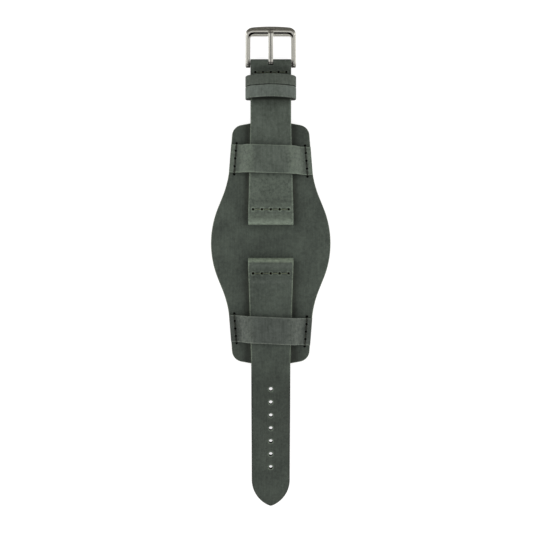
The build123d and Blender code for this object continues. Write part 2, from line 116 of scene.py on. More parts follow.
scene.world = bpy.data.worlds.new("light_tent")
tree = emptied(scene.world)
direction = add_node(tree, "ShaderNodeTexCoord").outputs["Generated"]
parts = add_node(tree, "ShaderNodeSeparateXYZ", [("Vector", direction)])
level = add_node(tree, "ShaderNodeValToRGB", [("Fac", parts.outputs["Z"])])
level.color_ramp.interpolation = "EASE"
while len(level.color_ramp.elements) < len(tent_levels):
    level.color_ramp.elements.new(0.5)
for element, (place, value) in zip(level.color_ramp.elements, tent_levels):
    element.position = place
    element.color = (value, value, value, 1)
far_end = add_node(
    tree, "ShaderNodeMapRange",
    [("Value", parts.outputs["Y"]), ("From Min", open_end[0]), ("From Max", open_end[1])],
    interpolation_type="SMOOTHSTEP",
).outputs["Result"]
rays = add_node(tree, "ShaderNodeLightPath")
low = add_node(
    tree, "ShaderNodeMath", [(0, parts.outputs["Z"]), (1, backdrop_height)],
    operation="LESS_THAN",
).outputs[0]
seen = 0.0
for ray, share in (("Is Camera Ray", 1.0), ("Is Glossy Ray", low), ("Is Transmission Ray", 1.0)):
    seen = add_node(
        tree, "ShaderNodeMath", [(0, rays.outputs[ray]), (1, share), (2, seen)],
        operation="MULTIPLY_ADD",
    ).outputs[0]
light = level.outputs["Color"]
for share, colour in ((far_end, linear(room_colour)), (seen, white)):
    light = add_node(
        tree, "ShaderNodeMix", [("Factor", share), (mix_a, light), (mix_b, colour)],
        data_type="RGBA",
    ).outputs[mix_out]
background = add_node(tree, "ShaderNodeBackground", [("Color", light)])
add_node(tree, "ShaderNodeOutputWorld", [("Surface", background.outputs[0])])

floor_mesh = bpy.data.meshes.new("floor")
half = floor_size / 2
floor_corners = [(-half, -half), (half, -half), (half, half), (-half, half)]
floor_mesh.from_pydata([(x, y, -floor_depth) for x, y in floor_corners], [], [(0, 1, 2, 3)])
floor = bpy.data.objects.new("floor", floor_mesh)
link(floor)
# Matt white board: one even tone without glare
board = bpy.data.materials.new("white_board")
tree = emptied(board)
rays = add_node(tree, "ShaderNodeLightPath")
pictured = add_node(
    tree, "ShaderNodeMath",
    [(0, rays.outputs["Is Camera Ray"]), (1, rays.outputs["Is Transmission Ray"])],
    operation="ADD",
).outputs[0]
tone = board_white
for ray, change in ((rays.outputs["Is Glossy Ray"], board_mirrored), (pictured, board_pictured)):
    tone = add_node(
        tree, "ShaderNodeMath", [(0, ray), (1, change), (2, tone)], operation="MULTIPLY_ADD",
    ).outputs[0]
matt = add_node(tree, "ShaderNodeBsdfDiffuse", [("Color", tone)])
glow = add_node(
    tree, "ShaderNodeMath", [(0, pictured), (1, overexposure)], operation="MULTIPLY",
).outputs[0]
glowing = add_node(tree, "ShaderNodeEmission", [("Strength", glow)])
both = add_node(tree, "ShaderNodeAddShader", [(0, matt.outputs[0]), (1, glowing.outputs[0])])
add_node(tree, "ShaderNodeOutputMaterial", [("Surface", both.outputs[0])])
floor_mesh.materials.append(board)

# Waxed pull-up leather
# Vegetable-tanned hide, dyed olive grey and waxed. The wax leaves a dull surface with cloudy
# mottling, a fine pebble grain, and paler lines wherever an edge or a fold stretches it; a painted
# highlight is added to these lines, and painted shade darkens the leather in places.
grain_size = 0.62 * MM
cloud_size = 9.0 * MM
mottle_size = 1.3 * MM
fibre_size = 0.28 * MM
streak_size = (0.7 * MM, 9.0 * MM, 0.7 * MM)
grain_depth = 0.045 * MM
mottle_depth = 0.05 * MM
fibre_depth = 0.015 * MM
# Shares of clouds and mottle in the tone, and how far the tone and the roughness vary
cloud_share = 0.35
mottle_share = 0.45
tone_spread = 0.12
dullness_spread = 0.07
# Range of the pale edge mark, pull-up wear with a painted highlight
rub_and_highlight_range = (0.1, 0.6)
# Dark of a burnished cut, also used for painted shade
burnished_and_shade_colour = "1c1f19"
sheen = 0.3


def layered(tree, colour, layers):
    """Mixes paints over a colour, each by a level that goes from its start (0) to its end (1)."""
    for level, start, end, paint in layers:
        share = add_node(
            tree, "ShaderNodeMapRange", [("Value", level), ("From Min", start), ("From Max", end)]
        ).outputs["Result"]
        colour = add_node(
            tree, "ShaderNodeMix", [("Factor", share), (mix_a, colour), (mix_b, linear(paint))],
            data_type="RGBA",
        ).outputs[mix_out]
    return colour


def leather(name, dark, light, edge, streak_share=0.2, roughness=0.56):
    """Waxed leather: clouds and mottle mix the dark and light tones.

    Where the attribute wear is over 0 it turns to the edge colour, pull-up wear with a painted
    highlight, and under 0 to the dark colour of a burnished cut, which also serves as painted
    shade.
    """
    material = bpy.data.materials.new(name)
    tree = emptied(material)
    place = add_node(tree, "ShaderNodeTexCoord").outputs["Object"]
    along = add_node(
        tree, "ShaderNodeMapping",
        [("Vector", place), ("Scale", [1 / size for size in streak_size])],
    ).outputs["Vector"]
    cloud, mottle, streak, fibre = [
        add_node(tree, "ShaderNodeTexNoise", [
            ("Vector", vector), ("Scale", scale), ("Detail", detail), ("Roughness", coarseness),
        ]).outputs["Fac"]
        for vector, scale, detail, coarseness in (
            (place, 1 / cloud_size, 3.0, 0.6), (place, 1 / mottle_size, 5.0, 0.68),
            (along, 1.0, 3.0, 0.5), (place, 1 / fibre_size, 3.0, 0.5))
    ]
    grain = add_node(
        tree, "ShaderNodeTexVoronoi",
        [("Vector", place), ("Scale", 1 / grain_size), ("Randomness", 1.0)],
        feature="SMOOTH_F1",
    ).outputs["Distance"]
    blend = 0.0
    for pattern, share in ((cloud, cloud_share), (mottle, mottle_share), (streak, streak_share)):
        blend = add_node(
            tree, "ShaderNodeMath", [(0, pattern), (1, share), (2, blend)],
            operation="MULTIPLY_ADD",
        ).outputs[0]
    middle = (cloud_share + mottle_share + streak_share) / 2
    wear_and_light_level = add_node(tree, "ShaderNodeAttribute", attribute_name="wear").outputs["Fac"]
    rub_and_highlight = add_node(
        tree, "ShaderNodeMath", [(0, wear_and_light_level), (1, mottle)], operation="MULTIPLY"
    ).outputs[0]
    colour = layered(tree, linear(dark), [
        (blend, middle - tone_spread, middle + tone_spread, light), (rub_and_highlight, *rub_and_highlight_range, edge),
        (wear_and_light_level, 0.0, -1.0, burnished_and_shade_colour)])
    gloss = add_node(
        tree, "ShaderNodeMapRange",
        [("Value", mottle), ("From Min", 0.3), ("From Max", 0.7),
         ("To Min", roughness + dullness_spread), ("To Max", roughness - dullness_spread)],
    ).outputs["Result"]
    bumps = []
    for height, strength, depth, sunk in (
            (grain, 0.8, grain_depth, True), (mottle, 0.8, mottle_depth, False),
            (fibre, 0.5, fibre_depth, False)):
        bumps.append(add_node(
            tree, "ShaderNodeBump",
            [("Strength", strength), ("Distance", depth), ("Height", height)]
            + [("Normal", below) for below in bumps[-1:]],
            invert=sunk,
        ).outputs["Normal"])
    shader = add_node(
        tree, "ShaderNodeBsdfPrincipled",
        [("Base Color", colour), ("Roughness", gloss), ("Normal", bumps[-1]), ("IOR", 1.47),
         ("Specular IOR Level", sheen)],
    )
    add_node(tree, "ShaderNodeOutputMaterial", [("Surface", shader.outputs[0])])
    return material


# The pad's leather is little handled: dark and dull, with soft clouds
waxed = leather("pad_waxed_leather", "3a403a", "525a51", "76816f")

# Cuff pad
# Two layers of leather glued together and cut to a waisted outline: the waxed upper carries the
# straps and the watch, and a thin plain lining lies on the wrist. The cut edges are rubbed.
# Corners of the outline's first quarter and their radii, in mm
pad_corners = [(32.95, 0, 46), (20.8, 29.9, 50), (18.65, 57.2, 5.5), (0, 60.65, 62)]
pad_glue_level = 0.8 * MM
pad_top = 2.0 * MM
pad_edge_round = 0.38 * MM
pad_under_round = 0.25 * MM
glue_round = 0.07 * MM
outline_spacing = 0.6 * MM
pad_spine = 0.93
pad_rings = 26
round_steps = 5
# Darker towards the ends, and painted shade in a line beside each strap's edges, where the
# strap's shadow falls on the pad
end_reach = (38 * MM, 58 * MM)
end_darkening = 0.2
painted_strap_shade = 0.4
strap_shade_place = 11.6 * MM
strap_shade_width = 1.5 * MM
strap_shade_start = 8.5 * MM
# What clean merges and keeps sharp, and the body of each node of the record
merge_distance = 0.002 * MM
sharp_turn = radians(38)
body_of = {node: body for body, nodes in frame["record"]["behaviour"]["bodies"].items()
           for node in nodes}


def rounded_ring(corners, spacing):
    """Points and outward normals of a closed outline, anticlockwise from (x, y, radius) corners.

    A corner's arc touches both of its sides at radius * tan(turn / 2) from the corner, and the
    normal turns with the arc. Straight sides are divided evenly.
    """
    arcs = []
    corners = np.array(corners, float)
    for before, corner, after in zip(np.roll(corners, 1, 0), corners, np.roll(corners, -1, 0)):
        into = (corner - before)[:2] / np.linalg.norm((corner - before)[:2])
        away = (after - corner)[:2] / np.linalg.norm((after - corner)[:2])
        turn = atan2(into[0] * away[1] - into[1] * away[0], into @ away)
        radius = corner[2]
        side = np.sign(turn)
        steps = max(2, int(np.ceil(abs(turn) * radius / spacing)))
        angles = np.linspace(0, turn, steps + 1)
        normals = np.stack([
            into[1] * np.cos(angles) + into[0] * np.sin(angles),
            into[1] * np.sin(angles) - into[0] * np.cos(angles),
        ], 1)
        start = corner[:2] - into * abs(radius * tan(turn / 2))
        arcs.append((start + side * radius * (normals - normals[0]), normals))
    points, normals = [], []
    for (arc, turned), (next_arc, _) in zip(arcs, arcs[1:] + arcs[:1]):
        gap = np.linalg.norm(next_arc[0] - arc[-1])
        steps = max(1, int(np.ceil(gap / spacing)))
        shares = np.linspace(0, 1, steps + 1)[1:-1, None]
        points += [arc, arc[-1] + shares * (next_arc[0] - arc[-1])]
        normals += [turned, np.repeat(turned[-1:], len(shares), 0)]
    return np.concatenate(points), np.concatenate(normals)


def all_quarters(corners):
    """Corners of a whole outline from those of its first quarter, mirrored in X and in Y."""
    left = [(-x, y, radius) for x, y, radius in reversed(corners[:-1])]
    lower = [(x, -y, radius) for x, y, radius in reversed((corners + left)[1:-1])]
    return corners + left + lower


def bell(distance, width):
    """Bell curve exp(-(distance / width)^2)."""
    return np.exp(-((distance / width) ** 2))


def plate(low, high, low_round, high_round):
    """Grid of a layer of the pad: rings go from its spine out to the rim and back in on top.

    Inside the rim a ring lies at a share of the way from the spine, the outline shrunk to
    x = 0. Round an edge the inset is radius * (1 - sin) and the height radius * (1 - cos).
    """
    spine = pad_outline * (0, pad_spine)
    quarter = np.linspace(0, pi / 2, round_steps + 1)
    levels = [(low_round, low, share, 0.0) for share in np.linspace(0, 1, pad_rings)]
    levels += [
        (low_round * (1 - sin(a)), low + low_round * (1 - cos(a)), 1.0, 0.0) for a in quarter[1:]
    ]
    levels += [
        (high_round * (1 - sin(a)), high - high_round * (1 - cos(a)), 1.0, sin(2 * a))
        for a in quarter[::-1]
    ]
    levels += [(high_round, high, share, 0.0) for share in np.linspace(1, 0, pad_rings)[1:]]
    inset, height, share, wear = [np.array(column)[:, None] for column in zip(*levels)]
    rim = pad_outline - inset[..., None] * pad_normals
    flat = spine + (rim - spine) * share[..., None]
    heights = np.broadcast_to(height, flat.shape[:2])
    return np.dstack([flat, heights]), np.broadcast_to(wear, heights.shape)


def skin(name, grid, wear, material, along=False):
    """Closed mesh over one or more grids of points, with quads between rows.

    The open ends get a face each, or the last row is joined to the first, along the ring.
    """
    grid = grid if grid.ndim == 4 else grid[None]
    index = np.arange(grid[..., 0].size).reshape(grid.shape[:3])
    ends = [] if along else index[:, 0].tolist() + index[:, -1, ::-1].tolist()
    index = np.concatenate([index, index[:, :, :1]], 2)
    if along:
        index = np.concatenate([index, index[:, :1]], 1)
    quads = np.stack(
        [index[:, :-1, :-1], index[:, 1:, :-1], index[:, 1:, 1:], index[:, :-1, 1:]], -1)
    mesh = bpy.data.meshes.new(name)
    mesh.from_pydata(grid.reshape(-1, 3).tolist(), [], quads.reshape(-1, 4).tolist() + ends)
    mesh.attributes.new("wear", "FLOAT", "POINT").data.foreach_set("value", wear.ravel())
    clean(mesh)
    mesh.materials.append(material)
    piece = bpy.data.objects.new(name, mesh)
    link(piece)
    return piece


def clean(mesh):
    """Merges points that coincide, turns all faces outwards and shades all but sharp edges."""
    work = bmesh.new()
    work.from_mesh(mesh)
    bmesh.ops.remove_doubles(work, verts=work.verts, dist=merge_distance)
    bmesh.ops.dissolve_degenerate(work, edges=work.edges, dist=merge_distance / 2)
    bmesh.ops.recalc_face_normals(work, faces=work.faces)
    work.to_mesh(mesh)
    work.free()
    mesh.shade_smooth()
    mesh.set_sharp_from_angle(angle=sharp_turn)


def stand_for(piece, *nodes):
    """Shows the piece instead of the solids of those names, on their body."""
    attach(piece, body_of[nodes[0]])
    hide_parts(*nodes)
    return piece


# Lining leather isn't waxed: tan, dry and even
lining = leather("plain_lining_leather", "7d664a", "94795a", "a08869", 0.1, 0.7)
pad_ring = np.array(all_quarters(pad_corners)) * MM
pad_outline, pad_normals = rounded_ring(pad_ring, outline_spacing)
grid, wear = plate(pad_glue_level, pad_top, glue_round, pad_edge_round)
out, reach = np.abs(grid[..., 0]), np.abs(grid[..., 1])
# Painted shade beside the straps and darker ends; the rim's pale edge is pull-up wear with a
# painted highlight
line = painted_strap_shade * bell(out - strap_shade_place, strap_shade_width) * (reach > strap_shade_start)
shade_and_darkening = np.interp(reach, end_reach, (0, end_darkening)) + line
wear = np.where(wear > 0.01, wear, -shade_and_darkening)
pad_piece = stand_for(skin("pad_upper_leather", grid, wear, waxed), "pad_upper")
grid, wear = plate(0.0, pad_glue_level, pad_under_round, glue_round)
stand_for(skin("pad_lining_leather", grid, wear * 0, lining), "pad_lining")

# Straps
# Each strap is a strip of waxed leather whose lug end is folded round the watch's bar and glued
# and sewn down on its own skived flap, with a lining glued below. The top edges are rounded.
strap_bottom = 2.1 * MM
lining_thickness = 1.0 * MM
strap_thickness = 1.35 * MM
flap_thickness = 0.7 * MM
glue_line = 0.1 * MM
lug_bore = 1.0 * MM
lug_wall = 1.1 * MM
lug_row = 7.5 * MM
flap_past_row = 2.4 * MM
flap_ramp = 3.0 * MM
loop_ramp = 3.1 * MM
lug_half_width = 11.0 * MM
buckle_half_width = 9.9 * MM
tail_half_width = 9.53 * MM
tail_end_half_width = 9.3 * MM
lug_straight = 4.0 * MM
taper_end = 51.0 * MM
strap_edge_round = 0.36 * MM
path_spacing = 0.27 * MM
across_points = 96
lining_top = strap_bottom + lining_thickness
main_middle = lining_top + strap_thickness / 2
flap_middle = lining_top + flap_thickness / 2
raised_middle = main_middle + flap_thickness + glue_line
# The straps' leather is the same: lighter where it was bent and pulled, darker on the tail
strap_leather = leather("strap_waxed_leather", "40473f", "5a6259", "7f8b7b")
tail_leather = leather("tail_waxed_leather", "3a403a", "535b52", "86927f")
strap_top = main_middle + strap_thickness / 2
lug_radius = lug_bore + lug_wall
lug_axis = strap_bottom + lug_radius
flap_end = lug_row + flap_past_row
# Pale band along a strap's top edges: pull-up wear with a painted highlight
edge_pale = 0.3 * MM
edge_wear_and_highlight = 0.55
buckle_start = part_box("buckle_strap_lug_fold")[0].y
tail_start = -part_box("tail_strap_lug_fold")[1].y


def ramp(start, end, shares=(0.0, 0.25, 0.5, 0.75, 1.0)):
    """Points (along, height, thickness) of an S-curve: 2 s^2 up to half way, then mirrored."""
    shares = np.array(shares)
    rise = np.where(shares < 0.5, 2 * shares**2, 1 - 2 * (1 - shares) ** 2)
    start, end = np.array(start), np.array(end)
    points = start + rise[:, None] * (end - start)
    points[:, 0] = start[0] + shares * (end[0] - start[0])
    return points.tolist()


def loop(middle, height, radius, thickness, start, end, steps):
    """Points (along, height, thickness) on a circle from one angle in degrees to another."""
    angles = np.radians(np.linspace(start, end, steps))
    across = middle + radius * np.cos(angles)
    return [(a, height + radius * sin(b), thickness) for a, b in zip(across, angles)]


def smooth_path(points, distances=None):
    """Curve through points (along, height, thickness), at even or at given distances.

    Between two points each value is a cubic whose slopes are the differences at both ends.
    """
    points = np.array(points, float)
    steps = np.hypot(*np.diff(points[:, :2], axis=0).T)
    chord = np.concatenate([[0], np.cumsum(steps)])
    slopes = np.gradient(points, chord, axis=0)
    if distances is None:
        count = int(np.ceil(chord[-1] / path_spacing))
        distances = np.linspace(0, chord[-1], count + 1)
    else:
        distances = distances(chord[-1])
    left = np.clip(np.searchsorted(chord, distances, side="right") - 1, 0, len(steps) - 1)
    length = steps[left][:, None]
    u = (distances - chord[left])[:, None] / length
    return (
        (2 * u**3 - 3 * u**2 + 1) * points[left] + (u**3 - 2 * u**2 + u) * length * slopes[left]
        + (3 * u**2 - 2 * u**3) * points[left + 1] + (u**3 - u**2) * length * slopes[left + 1]
    )


def strip(path, half_width, top_round, under_round, across=across_points, crown=0.0):
    """Grid and wear of a strip of leather: a rectangle with rounded corners along a path.

    The path gives (along, height, thickness), and a section lies in its normal plane. A flat
    runs between the corners, and a corner's point is at radius * (cos, sin) from its centre.
    The wear is sin(2 angle)^2 round an upper corner, fades as wear * exp(-(distance / reach)^2)
    from there onto the top, and is -1 on the cut sides. Above 0 it is pull-up wear with a
    painted highlight.
    """
    middle, thickness = path[:, :2], path[:, 2:3]
    slope = np.gradient(middle, axis=0)
    slope /= np.linalg.norm(slope, axis=1, keepdims=True)
    normal = np.stack([-slope[:, 1], slope[:, 0]], 1)
    turn = np.linspace(pi / 2, 0, round_steps + 1)[1:]
    flats = np.linspace(-1, 1, across), np.linspace(1, -1, across // 4)
    side = np.concatenate([flats[0], np.ones(2 * len(turn)), flats[1], -np.ones(2 * len(turn))])
    upper = np.concatenate([
        np.ones(across + len(turn)), -np.ones(2 * len(turn) + len(flats[1])), np.ones(len(turn))])
    angle = np.concatenate([
        np.full(across, pi / 2), turn, -turn[::-1], np.full(len(flats[1]), -pi / 2),
        turn - pi, pi - turn[::-1]])
    radius = np.minimum(np.where(upper > 0, top_round, under_round), 0.45 * thickness)
    half_width = np.broadcast_to(half_width, len(path))[:, None]
    radius = np.minimum(radius, 0.9 * half_width)
    out = side * (half_width - radius) + radius * np.cos(angle)
    up = upper * (thickness / 2 - radius) + radius * np.sin(angle)
    up = up + crown * (1 - (out / half_width) ** 2) * (upper > 0)
    along = middle[:, :1] + normal[:, :1] * up
    height = middle[:, 1:] + normal[:, 1:] * up
    rub_and_highlight = np.where(upper > 0, np.sin(2 * angle) ** 2, 0.0) - (np.abs(np.sin(angle)) < 0.4)
    inward = half_width - radius - np.abs(out)
    near = edge_wear_and_highlight * bell(inward, edge_pale) * (angle == pi / 2)
    return np.dstack([out, along, height]), np.maximum(rub_and_highlight, near) + np.minimum(rub_and_highlight, 0)


def stretched(wear, amount):
    """Wear and painted light of a strip with an amount for each row added, less where worn
    already.
    """
    more = wear + amount[:, None] * (1 - np.clip(wear, 0, 1))
    return np.where(wear > -0.5, more, wear)


def circle(radius, sides):
    """Points of a circle: radius * (cos, sin) at even angles."""
    angles = np.linspace(0, 2 * pi, sides, endpoint=False)
    return radius * np.stack([np.cos(angles), np.sin(angles)], 1)


def drills(places, radius, low, sides=16):
    """Upright round cutters at places (x, y), from a height up past the part."""
    return [prism(place + circle(radius, sides), low, drill_top, 1) for place in places]


def prism(profile, low, high, turns=0):
    """Cutter with a profile (y, z) along X, or with one cyclic turn of axes (x, y) along Z."""
    count = len(profile)
    run = np.repeat([low, high], count)[:, None]
    points = np.roll(np.hstack([run, np.tile(profile, (2, 1))]), -turns, 1)
    index = np.arange(count)
    after = np.roll(index, -1)
    walls = np.stack([index, after, after + count, index + count], -1).tolist()
    return points, walls + [index[::-1].tolist(), (index + count).tolist()]


def cut(piece, cutters, material):
    """Cuts all cutters out of a piece; the walls they leave get the material."""
    points, faces = [], []
    for corners, sides in cutters:
        faces += [[len(points) + corner for corner in side] for side in sides]
        points += corners.tolist()
    mesh = bpy.data.meshes.new("cutter")
    mesh.from_pydata(points, [], faces)
    mesh.materials.append(material)
    clean(mesh)
    tool = bpy.data.objects.new("cutter", mesh)
    link(tool)
    step = piece.modifiers.new("cut", "BOOLEAN")
    step.operation = "DIFFERENCE"
    step.solver = "EXACT"
    step.material_mode = "TRANSFER"
    step.object = tool
    finished = bpy.data.meshes.new_from_object(
        piece.evaluated_get(bpy.context.evaluated_depsgraph_get()))
    piece.modifiers.clear()
    old = piece.data
    piece.data = finished
    finished.name = old.name
    bpy.data.meshes.remove(old)
    bpy.data.objects.remove(tool)
    bpy.data.meshes.remove(mesh)
    finished.set_sharp_from_angle(angle=sharp_turn)


def across_holes(place, half_width):
    """Five holes of a stitch row across a strap, sewn in from its edges."""
    row = np.linspace(-1, 1, stitch_holes) * (half_width - stitch_inset)
    return np.stack([row, np.full(stitch_holes, place)], 1)


def pressed(grid, wear, holes, radius, row=False, columns=across_points, ring_pale_and_highlight=0.7,
            groove_shade=0.0):
    """Lifts a ring round each hole, and presses a groove along a sewn row.

    A ring is height * exp(-((distance - radius) / width)^2) and a groove is
    -depth * exp(-(distance / width)^2), between the first hole and the last. A ring turns pale,
    pull-up wear with a painted highlight, and the groove gets painted shade: its wear is less by
    the same bell times its shade.
    """
    flat, holes = grid[:, :columns, :2], np.array(holes)
    gap = np.linalg.norm(flat[:, :, None] - holes[None, None], axis=3)
    rings = bell(gap - radius - ring_width, ring_width).sum(2)
    lift = ring_height * rings
    if row:
        run = holes[-1] - holes[0]
        share = np.clip((flat - holes[0]) @ run / (run @ run), 0, 1)
        away = np.linalg.norm(flat - holes[0] - share[..., None] * run, axis=2)
        groove = bell(away, groove_width)
        lift = lift - groove_depth * groove
    grid, wear = grid.copy(), wear.copy()
    grid[:, :columns, 2] += lift
    wear[:, :columns] += np.minimum(ring_pale_and_highlight * rings, 1) * (1 - wear[:, :columns])
    if row:
        wear[:, :columns] -= groove_shade * groove
    return grid, wear


ring_width = 0.3 * MM
ring_height = 0.07 * MM
groove_depth = 0.16 * MM
groove_width = 0.4 * MM
stitch_holes = 5
stitch_inset = 2.4 * MM
awl_radius = 0.6 * MM
drill_top = 9 * MM
clear = 4 * MM
# Along a fold's path: how far past the fold the flap is level, where it dips and swells before it
# turns, where the level stretches end, and each turn's angles in degrees and number of points
flap_level = 0.35 * MM
lug_flap_rise = 0.02 * MM
buckle_flap_rise = 0.03 * MM
throat = 1.7 * MM
throat_dip = 0.2 * MM
lug_throat_swell = 0.1 * MM
buckle_throat_swell = 0.15 * MM
lug_raised_end = 1.0 * MM
buckle_raised_start = 1.5 * MM
level_start = 20 * MM
level_before_flap = 10 * MM
level_middle = 30 * MM
lug_turn = (-62, -270, 9)
buckle_turn = (66, -112, 8)
# Height and thickness of a strap's leather where it is level and where it lies over its flap
main = (main_middle, strap_thickness)
raised = (raised_middle, strap_thickness)
# The leather inside a hole is raw and in shade: nearly black
dark_hole = leather("awl_hole_leather", "15170f", "23251c", "23251c", 0.1, 0.8)
# A flap is skived thin over its last millimetres: distance from its edge, height and thickness
skived = np.array([
    (0, lining_top + 0.12 * MM, 0.18 * MM),
    (1.3 * MM, flap_middle - 0.06 * MM, flap_thickness - 0.15 * MM),
    (2.9 * MM, flap_middle, flap_thickness),
])
lug_points = ((flap_end, 0, 0) + skived * (-1, 1, 1)).tolist()
lug_points += [
    (2 * lug_radius + flap_level, flap_middle + lug_flap_rise, flap_thickness),
    (lug_radius + throat, flap_middle - throat_dip, flap_thickness + lug_throat_swell),
]
lug_points += loop(lug_radius, lug_axis, lug_bore + lug_wall / 2, lug_wall, *lug_turn)
raised_start = (lug_radius, lug_axis + lug_bore + lug_wall / 2, lug_wall)
lug_points += ramp(raised_start, (lug_radius + loop_ramp, *raised))[1:]
lug_points += [(flap_end - lug_raised_end, *raised)]
lug_points += ramp((flap_end, *raised), (flap_end + flap_ramp, *main))

# Buckle strap
# Its second fold holds the buckle's spring bar in the same way, and has a slot for the tongue.
bar_radius = 0.75 * MM
bore_gap = 0.1 * MM
buckle_wall = 1.35 * MM
buckle_row_to_bar = 4.3 * MM
slot_half_width = 1.215 * MM
slot_reach = 1.35 * MM
slot_mouth = 1.0 * MM
slot_bend = 0.6 * MM
# Along the strap the leather is pale where it was bent, with a painted highlight at the lug fold;
# it has painted shadow below the free keeper's edge, and is darker over the buckle end
buckle_end_dark = 0.3
bent_pale_and_highlight = ((1 * MM, 3.5 * MM, 6 * MM, 24 * MM, 28 * MM), (0.8, 0.6, 0.3, 0.3, 0))
painted_keeper_shadow = ((57.5 * MM, 60.2 * MM, 61.4 * MM, 63 * MM, 66 * MM), (0, 0.15, 0.9, 0.9, buckle_end_dark))
fold_radius = bar_radius + bore_gap + buckle_wall
bar_height = strap_bottom + fold_radius
bar_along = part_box("buckle_strap_buckle_fold")[1].y - buckle_start - fold_radius
flap_start = bar_along - buckle_row_to_bar - flap_past_row
fold_middle = bar_radius + bore_gap + buckle_wall / 2
points = lug_points + [(level_start, *main), (flap_start - level_before_flap, *main)]
points += ramp((flap_start - flap_ramp, *main), (flap_start, *raised))
points += [(flap_start + buckle_raised_start, *raised)]
points += ramp((bar_along - loop_ramp, *raised),
               (bar_along, bar_height + fold_middle, buckle_wall))
points += loop(bar_along, bar_height, fold_middle, buckle_wall, *buckle_turn)
points += [
    (bar_along - throat, flap_middle - throat_dip, flap_thickness + buckle_throat_swell),
    (bar_along - fold_radius - flap_level, flap_middle + buckle_flap_rise, flap_thickness),
]
points += ((flap_start, 0, 0) + skived[::-1]).tolist()


def buckle_half(along):
    """Half width of the buckle strap: straight by the lug, then tapered."""
    return np.interp(along, [lug_straight, taper_end], [lug_half_width, buckle_half_width])


path = smooth_path(points)
grid, wear = strip(path, buckle_half(path[:, 0]), strap_edge_round, glue_round)
# Pale with a painted highlight by the lug fold, painted shadow below the free keeper, darker over
# the buckle end
wear = stretched(wear, np.interp(path[:, 0], *bent_pale_and_highlight) - np.interp(path[:, 0], *painted_keeper_shadow))
wear = np.where((path[:, 0] > flap_start)[:, None] & (wear > -buckle_end_dark), -buckle_end_dark, wear)
grid[..., 1] += buckle_start
lug_holes = across_holes(buckle_start + lug_row, lug_half_width)
bar_y = buckle_start + bar_along
end_holes = across_holes(bar_y - buckle_row_to_bar, buckle_half_width)
grid, wear = pressed(grid, wear, lug_holes, awl_radius, True)
grid, wear = pressed(grid, wear, end_holes, awl_radius, True, ring_pale_and_highlight=0.1)
upper = skin("buckle_strap_waxed_leather", grid, wear, strap_leather)
slot_top = bar_height + clear
slot_sides = [(bar_y - slot_reach, 0), (bar_y + clear, 0), (bar_y + clear, slot_top),
              (bar_y - slot_mouth, slot_top), (bar_y - slot_mouth, bar_height + fold_radius),
              (bar_y - slot_reach, bar_height + slot_bend)]
cut(upper, drills(lug_holes, awl_radius, 0) + drills(end_holes, awl_radius, 0)
    + [prism(slot_sides, -slot_half_width, slot_half_width)], dark_hole)
stand_for(upper, "buckle_strap_upper", "buckle_strap_lug_fold", "buckle_strap_buckle_fold")
low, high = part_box("buckle_strap_lining")
lining_middle = strap_bottom + lining_thickness / 2
lining_round = 0.15 * MM
path = smooth_path([(along, lining_middle, lining_thickness)
                    for along in (low.y - buckle_start, level_middle, high.y - buckle_start)])
grid, wear = strip(path, buckle_half(path[:, 0]), glue_round, lining_round)
grid[..., 1] += buckle_start
under = skin("buckle_strap_lining_leather", grid, wear * 0, lining)
stand_for(under, "buckle_strap_lining")

# Tail strap
# The long strap with seven punched adjusting holes. It droops off the pad to the table, and its
# tip is cut to two arcs with a rounded nose.
tail_length = 121.4 * MM
tip_radius = 13.6 * MM
nose_radius = 1.2 * MM
tail_level_end = 54 * MM
droop = (63.3 * MM, 104.8 * MM)
tip_level = 6 * MM
adjusting_holes = 7
adjusting_pitch = 6.42 * MM
last_hole_to_tip = 19.1 * MM
adjusting_radius = 0.92 * MM
adjusting_sides = 40
tip_round = 0.4 * MM
lining_tip = 0.1 * MM
end_crowd = 2 * MM
end_rows = 16
thinnest = 0.02 * MM
# Along the tail: pale at the lug fold with a painted highlight, burnished by the keepers, and
# pale edges, partly a painted highlight, that turn dark with burnish and painted shade
fold_pale_and_highlight = ((1.7 * MM, 2.5 * MM, 4 * MM), (0.85, 0.15, 0))
tail_dark = ((44 * MM, 52 * MM, 62 * MM, 90 * MM, 104 * MM), (0, 0.16, 0.32, 0.32, 0.16))
edge_turn = ((50 * MM, 62 * MM), (1, -0.6))
tip_inset = tip_radius - tail_end_half_width
tip_start = tail_length - (tip_radius**2 - tip_inset**2) ** 0.5
nose_middle = tip_start + ((tip_radius - nose_radius) ** 2 - tip_inset**2) ** 0.5
nose_start = tip_start + (nose_middle - tip_start) * tip_radius / (tip_radius - nose_radius)


def tail_half(along):
    """Half width of the tail: tapered, then an arc of the tip's radius, then the nose's."""
    side = np.interp(along, [0, lug_straight, taper_end, tip_start],
                     [lug_half_width, lug_half_width, tail_half_width, tail_end_half_width])
    past = np.clip(along - tip_start, 0, tip_radius)
    arc = np.sqrt(np.maximum(tip_radius**2 - past**2, 0)) - tip_inset
    nose = np.sqrt(np.maximum(nose_radius**2 - (along - nose_middle) ** 2, thinnest**2))
    return np.where(along < tip_start, side, np.where(along < nose_start, arc, nose))


def crowded_end(length):
    """Even distances that crowd together over the last two millimetres."""
    even = np.arange(0, length - end_crowd, path_spacing)
    return np.concatenate([even, length - end_crowd * (1 - np.linspace(0, 1, end_rows)) ** 2])


